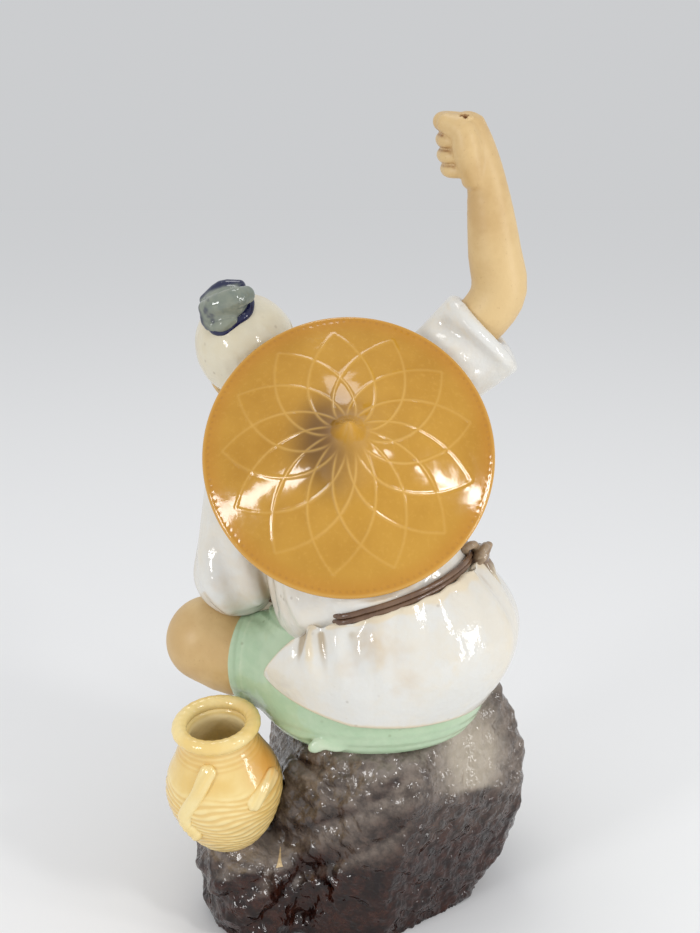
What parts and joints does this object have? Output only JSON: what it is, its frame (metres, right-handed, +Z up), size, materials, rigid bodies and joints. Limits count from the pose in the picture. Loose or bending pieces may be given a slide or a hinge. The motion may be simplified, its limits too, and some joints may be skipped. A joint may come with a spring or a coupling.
{
  "type": "ceramic figurine",
  "caption": "Seated fisherman figurine in glazed stoneware with a raised fist, a broad hat on its back and a creel, on a hollow rock base.",
  "frame": {"origin": "centre of the bounding box at the height of the flat rim under the rock", "axes": "+Z up, the figure faces -Y, its raised right arm is on the -X side and its left knee on the +X side"},
  "size_m": [0.1272, 0.1246, 0.2757],
  "materials": {
    "hat_glaze": "gloss amber glaze",
    "robe_glaze": "gloss white glaze",
    "trouser_glaze": "gloss pale green glaze",
    "skin_clay": "satin tan clay",
    "hair_glaze": "gloss off-white glaze",
    "topknot_glaze": "gloss grey-green glaze",
    "cobalt_glaze": "gloss dark blue glaze",
    "belt_glaze": "satin brown glaze",
    "creel_glaze": "gloss pale yellow glaze",
    "rock_glaze": "gloss dark brown glaze"
  },
  "bodies": {
    "root": {"hat": "hat_glaze", "right_leg": "skin_clay", "right_foot": "skin_clay", "left_foot": "skin_clay", "left_leg": "skin_clay", "trousers": "trouser_glaze", "chest_and_neck": "skin_clay", "robe_body": "robe_glaze", "robe_skirt": "robe_glaze", "right_arm": "skin_clay", "right_hand": "skin_clay", "right_sleeve": "robe_glaze", "left_arm": "skin_clay", "left_hand": "skin_clay", "left_sleeve": "robe_glaze", "head": "skin_clay", "hair": "hair_glaze", "topknot_tie": "cobalt_glaze", "topknot": "topknot_glaze", "beard": "hair_glaze", "robe_collar": "robe_glaze", "belt_cord": "belt_glaze", "belt_knot": "belt_glaze", "creel_body": "creel_glaze", "creel_rim": "creel_glaze", "creel_strap_left": "creel_glaze", "creel_strap_right": "creel_glaze", "rock_base": "rock_glaze"}
  },
  "joints": []
}
